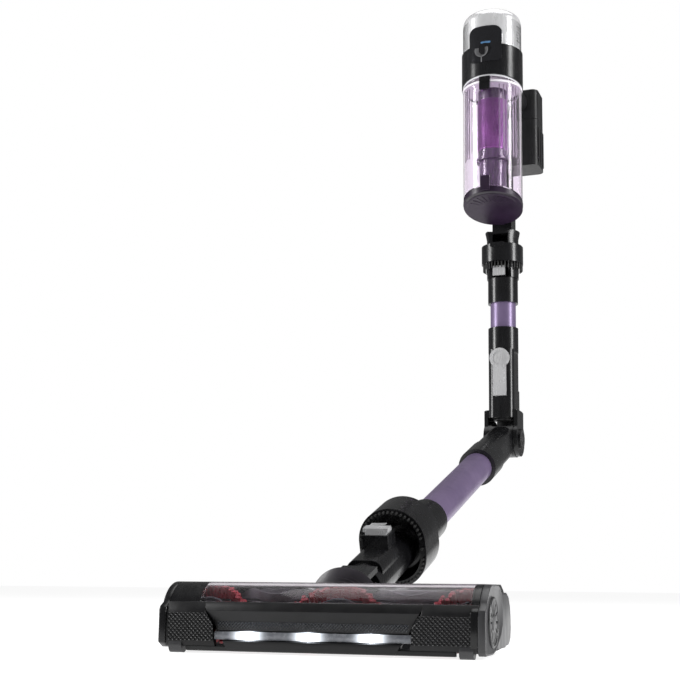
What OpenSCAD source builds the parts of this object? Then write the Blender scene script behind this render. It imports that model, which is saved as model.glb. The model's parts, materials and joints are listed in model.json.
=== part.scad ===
// Cordless stick vacuum: handheld unit, folding wand and motorised floor head.
// Millimetres, +Z up, the head's front faces -Y, the floor is z = 0.

/* [Floor head] */
// Width between the outer faces of the two end plates
head_w = 265; // [240:1:300]
// Depth from the front fascia to the rear edge
head_d = 131; // [126:1:150]
// Radius of the round window over the roller, to its outer face
window_r = 29; // [28:0.5:32]
// Height of the roller's axis above the floor
roller_z = 27; // [26.5:0.5:30]
// Wall of the window
window_wall = 2.4; // [1.6:0.2:3]
// Radius of the roller's core
core_r = 16; // [13:0.5:18]
// Gap between the bristle tips and the window
tip_gap = 0.8; // [0.5:0.1:2]
// Wall of the head's covers
head_wall = 2.5; // [2:0.1:3.5]
// Thickness of each end plate
end_plate = 6.5; // [5:0.5:9]
// Height of the fascia's top edge
fascia_h = 35; // [30:0.5:38]
// Number of lamps in the front strip
lamps = 3; // [1:1:4]
// Distance between two lamps
lamp_pitch = 50; // [30:1:56]
// Radius of the rear wheels
wheel_r = 9; // [8:0.5:10]
// Radius of the small front wheels
front_wheel_r = 6; // [5:0.5:6.5]
// Radius of the dial that frees the roller
dial_r = 20; // [16:0.5:21]

/* [Neck] */
// Height of the neck's pivot above the floor
neck_z = 40; // [38:0.5:46]
// Radius of the ribbed dome that covers the pivot
dome_r = 31.5; // [28:0.5:32]
// Outer radius of the neck tube
neck_r = 19; // [17:0.5:20]

/* [Wand] */
// Distance from the neck's pivot to the elbow's pivot
lower_len = 603; // [520:1:680]
// Outer diameter of the lower tube
lower_d = 35.5; // [32:0.5:38]
// Outer diameter of the upper tube
upper_d = 33.5; // [30:0.5:35]
// Wall of both tubes
tube_wall = 1.6; // [1.2:0.1:2.2]
// Distance from the elbow's pivot to the top of the wand's upper collar
upper_len = 214; // [205:1:260]
// Outer width of the elbow between its two cheeks
elbow_w = 44; // [42:1:50]
// Radius of the elbow's drum
drum_r = 24; // [22:0.5:26]

/* [Handheld] */
// Outer diameter of the clear bin
bin_d = 77; // [72:1:84]
// Height of the clear bin on its axis
bin_h = 158; // [140:1:180]
// Wall of the bin
bin_wall = 2; // [1.6:0.1:3]
// How far the motor housing stands out from the bin all round
rim_lip = 1.75; // [1.5:0.25:4]
// Height of the motor housing above the bin on its axis
motor_h = 48; // [44:1:60]
// Height of the bright cap
cap_h = 53; // [44:1:64]
// Distance from the wand's axis forward to the bin's axis
bin_forward = 51; // [50:0.5:58]
// Outer diameter of the inlet tube
inlet_d = 42; // [40:0.5:44]
// Width of the battery pack
battery_w = 66; // [54:1:70]
// Depth of the battery pack
battery_d = 45; // [40:1:50]
// Height of the battery pack below the handle
battery_h = 68; // [56:1:84]
// Distance from the wand's axis back to the rear face of the battery
rear_reach = 120; // [112:1:130]
// Width of the handle's beam
beam_w = 36; // [30:1:42]

/* [Pose] */
// Slope of the lower wand above level
incline = 20; // [10:1:40]
// Turn of the wand plane away from the head's own
steer = 4.25; // [0:0.25:12]

/* [Clearances] */
// Radial running clearance of a pin in its bore
run_gap = 0.05; // [0.02:0.01:0.1]
// Gap between faces of parts that move past each other
face_gap = 0.4; // [0.3:0.05:0.8]
// Radial gap between two pieces that are pushed together
push_gap = 0.1; // [0.05:0.05:0.2]

/* [Hidden] */
$fn = 96;
fine = 128;

black = [0.05, 0.05, 0.06];
silver = [0.75, 0.75, 0.77];
purple = [0.27, 0.18, 0.33];
clear = [0.85, 0.8, 0.88, 0.35];

// Head: places across the width and along the depth
plate_in = head_w / 2 - end_plate;      // inner face of an end plate
roller_y = window_r + 5;                // roller axis behind the fascia
neck_x = -5;
window_span = [-100, plate_in - 6];      // left and right end of the clear window
neck_y = head_d - 31;
head_h = roller_z + window_r;
tip_r = window_r - window_wall - tip_gap;
roller_half = plate_in - 8;
floor_z = 4;                            // underside of the base plate
floor_t = 3;
axle_r = 4;
rear_axle = [head_d - 17, wheel_r];
rear_axle_r = 1.5;
front_axle = [front_wheel_r + 0.2, front_wheel_r];
front_axle_r = 1.2;
wheel_in = plate_in - 14;               // inner face of a front wheel
opening_half = dome_r + 3;              // half width of the neck's opening in the head
ear_t = 6;
ear_in = opening_half + 0.5;
trunnion_r = 6;
motor_pos = [roller_y + tip_r + 26.2, 31];  // drive motor's axis, clear of the roller's strips
pulley_in = plate_in - 16;
pulley_w = 8;
motor_in = ear_in + ear_t - neck_x + 1;  // drive motor's ends, clear of the yoke's ears
motor_out = pulley_in - 10;
drive_motor_r = 18;
motor_shaft_r = 2.5;
motor_pulley_r = 7;
roller_pulley_r = 13;
belt_t = 1.6;

// Wand: the neck's pivot, the elbow's pivot and the frames that they carry
neck_pos = [neck_x, neck_y, neck_z];
elbow_pos = neck_pos + lower_len * [cos(incline) * sin(steer), cos(incline) * cos(steer), sin(incline)];
yoke_incline = atan(tan(incline) / cos(steer));
yoke_turn = asin(cos(incline) * sin(steer));
center_y = (elbow_pos[1] + rear_reach * cos(steer)) / 2;

// Upper wand and handheld, measured up from the elbow's pivot
collar_h = 33;                          // upper collar, and the elbow housing's collar
housing_top = 147.5;
socket_z = upper_len;                   // lower end of the inlet tube
brush_z = socket_z + 20;                // lower face of the brush collar
brush_h = 24;
brush_lift = 10;
funnel_z = brush_z + brush_h + brush_lift + 0.6;
funnel_h = 10;
bin_z = socket_z + 88;                  // flap's plane on the bin's axis
rim_z = bin_z + bin_h;                  // bin's rim on the bin's axis
cap_z = rim_z + motor_h;
flap_tilt = 16;
rim_tilt = 10;
bin_r = bin_d / 2;
motor_r = bin_r + rim_lip;
inlet_r = inlet_d / 2;
flap_t = 7;
core_rad = bin_r / 2 - 0.25;
beam_t = 27;
beam_z = cap_z - beam_t;                // underside of the handle's beam at the housing
bay_z = rim_z + 7;                      // underside of the battery's bay
bay_top = cap_z + 2;
latch_h = 22;

// Lower wand, measured down from the elbow's pivot
knuckle_end = 146;
ring_s = 128;                           // brush ring's lower face, from the neck's pivot
ring_len = 44;
cuff_s = ring_s + 22;
cuff_len = 92;
cuff_r = 22;
button_s = 92;                          // head release button, from the neck's pivot
stub_r = 5;
cheek_t = 5;
drum_half = elbow_w / 2 - cheek_t - face_gap;

// ---------------------------------------------------------------- frames

module in_head() translate([0, -center_y, 0]) children();
module in_upper() in_head() translate(elbow_pos) rotate([0, 0, -steer]) children();
module in_bin() in_upper() translate([0, -bin_forward, 0]) children();
module in_lower() in_upper() rotate([incline - 90, 0, 0]) children();
module in_neck() in_lower() translate([0, 0, -lower_len]) children();
module in_yoke() in_head() translate(neck_pos) rotate([yoke_incline - 90, 0, 0]) children();
module in_socket() in_yoke() rotate([0, yoke_turn, 0]) children();

// ---------------------------------------------------------------- shapes

// Cylinder along X, centred on [x], between two x values
module bar_x(x0, x1, r, fn = 64) translate([x0, 0, 0]) rotate([0, 90, 0])
    cylinder(h = x1 - x0, r = r, $fn = fn);

// Tube standing on z = 0
module tube(h, r, wall) difference() {
    cylinder(h = h, r = r);
    translate([0, 0, -1]) cylinder(h = h + 2, r = r - wall);
}

// Outline of a box with round corners, centred
module round_rect(w, d, r) {
    square([w - 2 * r, d], center = true);
    square([w, d - 2 * r], center = true);
    for (x = [-1, 1], y = [-1, 1]) translate([x * (w / 2 - r), y * (d / 2 - r)]) circle(r, $fn = 32);
}

module round_box(w, d, h, r) linear_extrude(h) round_rect(w, d, r);

// Oval outline: a circle of radius r stretched by two half circles, long side along Y
module oval(w, d) {
    translate([0, (d - w) / 2]) circle(w / 2);
    translate([0, (w - d) / 2]) circle(w / 2);
    square([w, d - w], center = true);
}

// Half space below a plane through height z on the local axis, tilted so that its front is higher
module below(z, tilt, size = 260) translate([0, 0, z]) rotate([-tilt, 0, 0])
    translate([-size / 2, -size / 2, -size]) cube(size);
module above(z, tilt, size = 260) translate([0, 0, z]) rotate([-tilt, 0, 0])
    translate([-size / 2, -size / 2, 0]) cube(size);

// Extrude a (y, z) outline of the head along X
module along_x(x0, x1) translate([x0, 0, 0]) rotate([90, 0, 90]) linear_extrude(x1 - x0) children();

// ---------------------------------------------------------------- handheld unit

module motor_housing() color(black) in_bin() difference() {
    union() {
        difference() {
            translate([0, 0, rim_z - 16]) cylinder(h = motor_h + 16, r = motor_r, $fn = fine);
            below(rim_z, rim_tilt);
        }
        // Neck that carries the handle's beam
        difference() {
            translate([0, 0, rim_z + 2]) intersection() {
                translate([-beam_w / 2, 0, 0]) cube([beam_w, motor_r + 12, motor_h - 8]);
                cylinder(h = motor_h, r = neck_out);
            }
            translate([0, 0, rim_z]) cylinder(h = motor_h, r = motor_r - 2);
        }
    }
    translate([0, 0, rim_z + 12]) cylinder(h = motor_h, r = motor_r - 3);
    translate([0, 0, rim_z - 30]) cylinder(h = 40, r = bin_r - 6);
    cylinder(h = 600, r = 15);
    front_cut(motor_r - 1.6, 60);
}

// Radius of the housing's rear neck, where the handle seats
neck_out = motor_r + 6.5;

// Pocket on the front for the display panel
panel_w = 44;
panel_z = cap_z - 24;
panel_h = 49;
module front_cut(r, deep) translate([0, 0, panel_z]) intersection() {
    translate([0, -motor_r, panel_h / 2]) rotate([90, 0, 0]) translate([0, 0, -12]) linear_extrude(24)
        round_rect(panel_w, panel_h, 9);
    difference() {
        cylinder(h = panel_h, r = motor_r + 8, $fn = fine);
        translate([0, 0, -1]) cylinder(h = panel_h + 2, r = r, $fn = fine);
    }
}

module exhaust_cap() color(silver) in_bin() translate([0, 0, cap_z + 1.5]) difference() {
    union() {
        cylinder(h = cap_h - 1.5 - 12, r = motor_r - 2, $fn = fine);
        translate([0, 0, cap_h - 13.5]) rotate_extrude($fn = fine) intersection() {
            union() {
                translate([motor_r - 2 - 12, 0]) circle(12, $fn = 64);
                square([motor_r - 14, 12]);
            }
            square([motor_r, 12]);
        }
    }
    translate([0, 0, -1]) cylinder(h = cap_h - 13.5, r = motor_r - 4.2, $fn = fine);
    translate([0, 0, 20]) cylinder(h = cap_h - 24.5, r = motor_r - 14);
    for (side = [0, 180], row = [0:5])
        translate([0, 0, 10 + row * 4]) rotate([0, 0, side]) translate([motor_r - 12, -13, -0.7])
            cube([20, 26, 1.4]);
    translate([0, 0, -cap_z - 1.5]) front_cut(motor_r - 3.4, 60);
}

module display_panel() color([0.02, 0.02, 0.02]) in_bin() difference() {
    intersection() {
        translate([0, 0, panel_z + 0.2]) difference() {
            cylinder(h = panel_h - 0.4, r = motor_r + 0.6, $fn = fine);
            translate([0, 0, -1]) cylinder(h = panel_h + 2, r = motor_r - 1.4, $fn = fine);
        }
        translate([0, -motor_r, panel_z + panel_h / 2]) rotate([90, 0, 0]) translate([0, 0, -12])
            linear_extrude(24) round_rect(panel_w - 0.4, panel_h - 0.4, 9);
    }
    mode_axis() cylinder(h = 20, r = mode_r + 0.3);
}

// The round mode button sits on the panel's lower half
mode_r = 8;
module mode_axis() translate([0, 0, panel_z + 17]) rotate([90, 0, 0]) translate([0, 0, motor_r - 10])
    children();
module mode_button() color([0.1, 0.1, 0.12]) in_bin() difference() {
    intersection() {
        mode_axis() cylinder(h = 20, r = mode_r);
        cylinder(h = 700, r = motor_r + 0.9, $fn = fine);
    }
    cylinder(h = 700, r = motor_r - 0.6, $fn = fine);
}

motor_body_r = 27;
module suction_motor() color([0.5, 0.5, 0.52]) in_bin() {
    translate([0, 0, rim_z + 22]) difference() {
        cylinder(h = 44, r = motor_body_r);
        translate([0, 0, -1]) cylinder(h = 9, r = motor_body_r - 3);
    }
    translate([0, 0, rim_z + 14]) cylinder(h = 16, r = 3);
    translate([0, 0, rim_z + 60]) tube(5, motor_r - 4.5, motor_r - 4.5 - motor_body_r + 0.5);
}

module impeller() color(silver) in_bin() translate([0, 0, rim_z + 15]) difference() {
    union() {
        cylinder(h = 10, r = 8);
        cylinder(h = 1.5, r = motor_body_r - 4);
        for (k = [0:8]) rotate([0, 0, k * 40]) translate([4, -0.8, 0.5])
            cube([motor_body_r - 8.5, 1.6, 6]);
    }
    translate([0, 0, -1]) cylinder(h = 14, r = 3 + run_gap);
}

module control_board() color([0.1, 0.35, 0.2]) in_bin() translate([0, 0, rim_z + 12.4]) {
    difference() {
        cylinder(h = 1.6, r = motor_r - 4);
        translate([0, 0, -1]) cylinder(h = 4, r = 26);
        translate([-60, -20, -1]) cube([120, 70, 4]);
    }
    for (k = [-1:1]) translate([k * 14, -29.5, 1.6]) cylinder(h = 7, r = 3);
}

module exhaust_filter() color([0.92, 0.92, 0.9]) in_bin() translate([0, 0, cap_z + 20]) difference() {
    cylinder(h = 16, r = motor_r - 5.5);
    translate([0, 0, -1]) cylinder(h = 18, r = motor_r - 5.5 - 8);
}

module pre_filter() color([0.9, 0.9, 0.92]) in_bin() translate([0, 0, rim_z + 3]) difference() {
    cylinder(h = 6, r = bin_r - 7);
    translate([0, 0, -1]) cylinder(h = 9, r = 6);
}

// Handle: beam, battery bay, grip pad and trigger
beam_tilt = 2;
beam_start = motor_r - bin_forward + 6;
beam_len = rear_reach - battery_d - beam_start + 8;
module beam_frame() translate([0, beam_start, beam_z + beam_t / 2]) rotate([-90 - beam_tilt, 0, 0])
    children();

module handle_shell() color(black) in_upper() difference() {
    union() {
        difference() {
            beam_frame() linear_extrude(beam_len) round_rect(beam_w, beam_t, 11);
            translate([0, -bin_forward, 0]) cylinder(h = 700, r = neck_out + 0.3);
        }
        translate([0, rear_reach - battery_d / 2, bay_z])
            round_box(battery_w, battery_d, bay_top - bay_z, 9);
    }
    translate([0, rear_reach - battery_d / 2, bay_z - 1])
        round_box(battery_w - 14, battery_d - 14, 15, 5);
    trigger_slot();
    grip_zone(0.2);
}

// Soft pad let into the top of the beam
grip_len = 46;
module grip_zone(gap = 0) beam_frame() translate([0, 1.2 - beam_t / 2, 10 - gap])
    linear_extrude(grip_len + 2 * gap)
    square([beam_w - 16 + 2 * gap, 3.6 + 2 * gap], center = true);
module grip_pad() color([0.12, 0.12, 0.13]) in_upper() grip_zone();

// Trigger under the beam, hinged at its rear end
trigger_w = 14;
trigger_len = 27;
trigger_pos = [0, inlet_r + 3 + trigger_len, beam_z + 2];
module trigger_slot()
    translate([-trigger_w / 2 - face_gap, trigger_pos[1] - trigger_len - 2.4, beam_z - 14])
    cube([trigger_w + 2 * face_gap, trigger_len + 7, 24]);
module trigger() color([0.2, 0.2, 0.22]) in_upper() translate(trigger_pos) {
    bar_x(-trigger_w / 2, trigger_w / 2, 3.5);
    rotate([-4, 0, 0]) translate([-trigger_w / 2, -trigger_len, -5]) cube([trigger_w, trigger_len, 5]);
    translate([-trigger_w / 2, 2 - trigger_len, -8]) cube([trigger_w, 12, 6]);
}

charge_r = 2.75;
charge_len = 8;
module battery_pack() color(black) in_upper()
    translate([0, rear_reach - battery_d / 2, bay_z - face_gap]) difference() {
    union() {
        mirror([0, 0, 1]) round_box(battery_w, battery_d, battery_h, 9);
        translate([0, 0, -1]) round_box(battery_w - 15, battery_d - 15, 12, 5);
    }
    translate([0, 0, -battery_h + 9]) linear_extrude(battery_h - 14)
        round_rect(battery_w - 6, battery_d - 6, 6);
    translate([0, -battery_d / 2 + 12, -battery_h - 1]) cylinder(h = charge_len + 1, r = charge_r);
    translate([-latch_w / 2 - face_gap, battery_d / 2 - 4.6, -battery_h - 1])
        cube([latch_w + 2 * face_gap, 8, latch_h + 1 + face_gap]);
}

module battery_cells() color([0.15, 0.4, 0.7]) in_upper() for (x = [-1:1], y = [0, 1])
    translate([x * 18.6, rear_reach - battery_d / 2 - 9.3 + y * 18.6 - 0.3,
        bay_z - face_gap - battery_h + 9.5])
        cylinder(h = min(battery_h - 15, 60), r = 9);

latch_w = 24;
module battery_latch() color([0.25, 0.25, 0.27]) in_upper()
    translate([-latch_w / 2, rear_reach - 2.6, bay_z - face_gap - battery_h]) {
        cube([latch_w, 2.6, latch_h]);
        translate([4, 2.5, 6]) cube([latch_w - 8, 1.1, 3]);
    }

// ---------------------------------------------------------------- bin

module dust_bin() color(clear) in_bin() difference() {
    union() {
        intersection() {
            translate([0, 0, bin_z - 30]) cylinder(h = bin_h + 60, r = bin_r, $fn = fine);
            below(rim_z - 2.6, rim_tilt);
            above(bin_z + flap_t / 2 + 1.2, flap_tilt);
        }
        for (a = [-60, -52, -128, -120]) rotate([0, 0, a]) translate([bin_r - 0.5, -0.6, bin_z + 62])
            cube([1.2, 1.2, bin_h - 84]);
        // Ears for the flap's hinge pin
        for (x = [-1, 1]) translate([x * 9 - 2.5, bin_r - 3, flap_y_z() - 3]) cube([5, 5.6, 13]);
    }
    intersection() {
        translate([0, 0, bin_z - 40]) cylinder(h = bin_h + 80, r = bin_r - bin_wall, $fn = fine);
        below(rim_z + 5, rim_tilt);
    }
    translate([0, flap_pin_y, flap_y_z()]) bar_x(-20, 20, 2 + run_gap, 32);
    translate([0, flap_pin_y, flap_y_z()]) bar_x(-6.4, 6.4, 3.9, 32);
    translate([0, bin_forward, 0]) port();
}

// Height and depth of the flap's hinge at the rear of the bin
flap_pin_y = bin_r - 0.6;
function flap_y_z() = bin_z - flap_pin_y * tan(flap_tilt) + 5;

module bin_seal() color([0.75, 0.75, 0.78]) in_bin() intersection() {
    translate([0, 0, rim_z - 20]) tube(50, bin_r + 0.4, 3);
    below(rim_z - 0.3, rim_tilt);
    above(rim_z - 2.5, rim_tilt);
}

module cyclone_core() color([0.35, 0.12, 0.4]) in_bin() {
    difference() {
        union() {
            translate([0, 0, bin_z + 62]) cylinder(h = bin_h - 62 + 2, r = core_rad);
            translate([0, 0, bin_z + 14]) cylinder(h = 49, r1 = core_rad - 2, r2 = core_rad - 1);
            translate([0, 0, bin_z + 58]) cylinder(h = 4, r = core_rad + 2.5);
        }
        translate([0, 0, bin_z + 10]) cylinder(h = 400, r = core_rad - 5);
        translate([0, 0, bin_z + 72]) tube(bin_h - 92, core_rad + 1, 1.6);
    }
}

module mesh_screen() color([0.6, 0.15, 0.5]) in_bin() translate([0, 0, bin_z + 72.3]) difference() {
    cylinder(h = bin_h - 92.6, r = core_rad + 0.2);
    translate([0, 0, -1]) cylinder(h = 400, r = core_rad - 0.55);
}

module bin_flap() color([0.14, 0.08, 0.16]) in_bin() difference() {
    union() {
        intersection() {
            translate([0, 0, bin_z - 30]) cylinder(h = 60, r = bin_r, $fn = fine);
            below(bin_z + flap_t / 2, flap_tilt);
            above(bin_z - flap_t / 2, flap_tilt);
        }
        translate([0, flap_pin_y, flap_y_z()]) bar_x(-6, 6, 3.2, 32);
        translate([-6, flap_pin_y - 3.2, flap_y_z() - 5]) cube([12, 5, 5]);
    }
    translate([0, flap_pin_y, flap_y_z()]) bar_x(-20, 20, 2 + run_gap, 32);
    for (x = [-1, 1]) translate([x * 9 - 3.1, bin_r - 4.4, flap_y_z() - 4]) cube([6.2, 12, 20]);
}

// Sprung catch on the bin's front that holds the flap shut
flap_front_z = bin_z + bin_r * tan(flap_tilt);
latch_gap = 2.4;                        // room for the flap's edge as it swings out
module flap_latch() color([0.2, 0.15, 0.22]) in_bin() translate([-6, -bin_r - 4.4, flap_front_z]) {
    translate([0, 0, 6]) cube([12, 3.6, 10]);
    translate([0, 0, -3]) cube([12, 4.4 - latch_gap, 12]);
}

// Sliding catch at the bin's rim
module bin_latch() color([0.1, 0.1, 0.12]) in_bin() translate([-7, -bin_r - 4.2, rim_z - 14]) {
    cube([14, 3.6, 17]);
    translate([3, -1.6, 9]) cube([8, 2, 3]);
}

// ---------------------------------------------------------------- inlet and brush collar

duct_half = 13;
riser_y = neck_out - bin_forward + 0.3;  // front face of the riser behind the bin
riser_top = beam_z - 2;
module inlet_tube() color(black) in_upper() difference() {
    union() {
        translate([0, 0, socket_z + 0.5]) cylinder(h = funnel_z - socket_z, r = inlet_r);
        translate([0, 0, funnel_z]) cylinder(h = funnel_h, r1 = inlet_r, r2 = inlet_r + 2);
        // Riser behind the bin
        translate([-duct_half, riser_y, funnel_z + funnel_h - 2])
            cube([2 * duct_half, inlet_r - riser_y, riser_top - funnel_z - funnel_h + 2]);
        translate([-11, -inlet_r - 1.6, socket_z + 0.5]) cube([22, 8, 16]);
    }
    translate([0, -bin_forward, 0]) cylinder(h = 700, r = bin_r + 0.6, $fn = fine);
    translate([0, -bin_forward, rim_z - 40]) cylinder(h = 200, r = neck_out + 0.2);
    translate([0, 0, socket_z - 1]) cylinder(h = funnel_z - socket_z + funnel_h - 2, r = inlet_r - 4);
    translate([-duct_half + 3, riser_y + 3, funnel_z + 4])
        cube([2 * duct_half - 6, inlet_r - riser_y - 6, rim_z - funnel_z - 12]);
    port();
    translate([-8.4, -inlet_r - 3, socket_z - 1]) cube([16.8, 12, 16]);
}

// Air port from the riser into the bin
module port() translate([0, riser_y + 5, rim_z - 18]) rotate([90, 0, 0]) cylinder(h = 20, r = 7);

module brush_collar() color(black) in_upper() translate([0, 0, brush_z]) difference() {
    union() {
        translate([0, -2, 0]) linear_extrude(brush_h) oval(54, 58);
        translate([-9, -34, brush_h - 5]) cube([18, 8, 5]);
    }
    translate([0, 0, -1]) cylinder(h = brush_h + 2, r = inlet_r + run_gap + 0.04);
    translate([0, 0, -1]) cylinder(h = 7, r = inlet_r + 3.4);
}

module collar_bristles() color([0.1, 0.1, 0.1]) in_upper() translate([0, 0, brush_z - 8]) for (k = [0:35])
    rotate([0, 0, k * 10]) translate([inlet_r + 4.6, 0, 0]) cylinder(h = 8, r = 0.9, $fn = 12);

module wand_release() color(silver) in_upper() translate([-8, -inlet_r - 2.6, socket_z + 2]) {
    cube([16, 3, 12.6]);
    translate([8, 3, 0.5]) rotate([90, 0, 0]) cylinder(h = 3, r = 0.5, $fn = 16);
}

// ---------------------------------------------------------------- upper wand and elbow

module wand_collar() color(black) in_upper() translate([0, 0, upper_len - collar_h]) difference() {
    cylinder(h = collar_h, r = upper_d / 2 + 3);
    translate([0, 0, -1]) cylinder(h = collar_h + 2, r = upper_d / 2 + push_gap);
}

module upper_tube() color(purple) in_upper() translate([0, 0, housing_top - 20])
    tube(upper_len - 2 - housing_top + 20, upper_d / 2, tube_wall);

// Housing of the elbow: collar, body and two cheeks around the drum
body_w = elbow_w - 10;
module elbow_housing() color(black) in_upper() difference() {
    union() {
        translate([0, 0, housing_top - collar_h]) cylinder(h = collar_h, r = upper_d / 2 + 3);
        translate([0, 0, drum_r + 3]) round_box(body_w, 42, housing_top - collar_h - drum_r, 10);
        for (x = [-1, 1]) translate([x * (elbow_w / 2 - cheek_t / 2), 0, 0]) {
            translate([-cheek_t / 2, -17, 0]) cube([cheek_t, 34, drum_r + 12]);
            bar_x(-cheek_t / 2, cheek_t / 2, drum_r - 1);
        }
        translate([0, 0, drum_r + 3]) round_box(elbow_w, 34, 10, 5);
    }
    translate([0, 0, housing_top - 20]) cylinder(h = 40, r = upper_d / 2 + push_gap);
    translate([0, 0, -10]) cylinder(h = housing_top + 20, r = upper_d / 2 - tube_wall - 1);
    bar_x(-drum_half - face_gap, drum_half + face_gap, drum_r + face_gap);
    bar_x(-60, 60, stub_r + 0.02);
    translate([-9.4, -22, button_z - 46]) cube([18.8, 6, 60]);
    translate([0, -22, button_z + 5]) rotate([-90, 0, 0]) cylinder(h = 6, r = 13.4);
}

button_z = 100;
module elbow_button() color(silver) in_upper() {
    difference() {
        union() {
            translate([0, -24, button_z + 5]) rotate([-90, 0, 0]) cylinder(h = 6, r = 13);
            translate([-8.6, -24, button_z - 45]) cube([17.2, 6, 46]);
        }
        translate([0, -26, button_z + 5]) rotate([-90, 0, 0]) cylinder(h = 3, r = 9);
    }
}

// Rear cover with its rod, and the side covers over the pivot
module elbow_covers() color([0.12, 0.12, 0.13]) in_upper() {
    translate([-13, 21.4, drum_r + 6]) cube([26, 13, 38]);
    translate([-13 + 20, 28, drum_r + 44]) cylinder(h = 28, r = 4);
    translate([-13 + 20 - 4, 21.4, drum_r + 66]) cube([8, 6, 6]);
    for (x = [-1, 1]) translate([x * (elbow_w / 2 + 0.1), 0, 0]) mirror([x < 0 ? 1 : 0, 0, 0])
        bar_x(0, 2.5, 13);
}

// Stub pins of the elbow and the flap's hinge pin
module hinge_pins() color([0.6, 0.6, 0.62]) {
    in_upper() for (x = [-1, 1]) mirror([x < 0 ? 1 : 0, 0, 0]) bar_x(drum_half - 4, elbow_w / 2, stub_r);
    in_bin() translate([0, flap_pin_y, flap_y_z()]) bar_x(-12, 12, 2, 32);
}

// Lower half of the elbow: drum between the cheeks, body and cuff
module elbow_knuckle() color(black) in_lower() difference() {
    union() {
        bar_x(-drum_half, drum_half, drum_r);
        translate([0, 0, -knuckle_end + 40]) round_box(2 * drum_half, 40, knuckle_end - 40 - 12, 12);
        translate([0, 0, -knuckle_end]) cylinder(h = 46, r = lower_d / 2 + 5);
    }
    bar_x(-drum_half + 4.5, drum_half - 4.5, drum_r - 4);
    bar_x(-60, 60, stub_r + run_gap);
    translate([-drum_half + 4.5, -40, -12]) cube([2 * drum_half - 9, 52, 60]);
    translate([0, 0, -knuckle_end - 1]) cylinder(h = knuckle_end - 10, r = lower_d / 2 - tube_wall - 1);
    translate([0, 0, -knuckle_end - 1]) cylinder(h = 27, r = lower_d / 2 + push_gap);
}

module lower_tube() color(purple) in_lower() translate([0, 0, -(lower_len - cuff_s - cuff_len + 24)])
    tube(lower_len - cuff_s - cuff_len + 24 - knuckle_end + 24, lower_d / 2, tube_wall);

module bottom_cuff() color([0.2, 0.2, 0.22]) in_neck() translate([0, 0, cuff_s]) difference() {
    cylinder(h = cuff_len, r = cuff_r);
    translate([0, 0, cuff_len - 26]) cylinder(h = 40, r = lower_d / 2 + push_gap);
    translate([0, 0, -1]) cylinder(h = 200, r = neck_r - 3);
    translate([0, 0, -1]) cylinder(h = 31, r = neck_r + push_gap);
}

// Brush ring that slides on the cuff
ring_w = 66;
ring_d = 78;
ring_off = -6;
module brush_ring() color([0.1, 0.1, 0.11]) in_neck() translate([0, 0, ring_s]) difference() {
    translate([0, ring_off, 0]) linear_extrude(ring_len) oval(ring_w, ring_d);
    translate([0, ring_off, -1]) linear_extrude(ring_len - 5) oval(ring_w - 12, ring_d - 12);
    translate([0, 0, -1]) cylinder(h = 200, r = cuff_r + run_gap + 0.04);
}

module ring_bristles() color([0.08, 0.08, 0.09]) in_neck() translate([0, ring_off, ring_s - 4])
    for (k = [0:43])
    let (a = k * 360 / 44)
    translate([(ring_w / 2 - 3) * cos(a), (ring_w / 2 - 3) * sin(a) + (ring_d - ring_w)
        / 2 * sign(sin(a)), 0])
        cylinder(h = 4, r = 1.1, $fn = 12);

// ---------------------------------------------------------------- neck

fork_r = 16;
hub_half = 14;
module neck_socket() color(black) in_socket() difference() {
    union() {
        translate([0, 0, 36]) cylinder(h = cuff_s - 6, r = neck_r);
        // Fork plates above and below the yoke
        for (s = [-1, 1]) translate([0, s * (hub_half + face_gap + 2.5), 0]) {
            rotate([90, 0, 0]) cylinder(h = 5, r = fork_r, center = true);
            translate([-fork_r, -2.5, 0]) cube([2 * fork_r, 5, 38]);
            translate([0, -s * 2.4, 0]) rotate([s * 90, 0, 0]) cylinder(h = 9, r = stub_r - 1);
        }
        // Turret of the release button
        translate([-12, -33, button_s - 10]) cube([24, 24, 22]);
        translate([0, -4, 48]) round_box(34, 34, 50, 10);
    }
    translate([0, 0, 42]) cylinder(h = cuff_s + 20, r = neck_r - 3);
    translate([-10.4, -36, button_s - 8]) cube([20.8, 9, 18]);
}

module head_release() color(silver) in_socket() translate([-10, -35.4, button_s - 7.6]) {
    cube([20, 6, 17.2]);
    translate([-2, -3.6, 0]) cube([24, 3.7, 10]);
}

module neck_yoke() color([0.15, 0.15, 0.16]) in_yoke() difference() {
    union() {
        rotate([90, 0, 0]) cylinder(h = 2 * hub_half, r = fork_r, center = true);
        bar_x(-ear_in - ear_t + 0.5, ear_in + ear_t - 0.5, trunnion_r);
    }
    rotate([90, 0, 0]) cylinder(h = 60, r = stub_r - 1 + run_gap, center = true);
}

// Ribbed half dome around the yoke, open towards the wand
module neck_hose() color([0.18, 0.13, 0.2]) in_yoke() difference() {
    union() for (k = [0:7]) rotate([0, 0, 0]) intersection() {
        sphere(dome_r - (k % 2) * 1.2, $fn = 64);
        translate([-40, -40, -34 + k * 4.4]) cube([80, 80, 4.4]);
    }
    sphere(dome_r - 4, $fn = 64);
    bar_x(-60, 60, trunnion_r + 0.2);
}

// ---------------------------------------------------------------- floor head

// Opening around the neck: straight beside the dome, flared behind it
module neck_opening(z0, z1) translate([neck_x, 0, z0]) linear_extrude(z1 - z0) polygon([
    [-opening_half, neck_y - dome_r - 2], [opening_half, neck_y - dome_r - 2], [opening_half, neck_y],
    [opening_half + 20, head_d + 10], [-opening_half - 20, head_d + 10], [-opening_half, neck_y]]);

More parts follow.
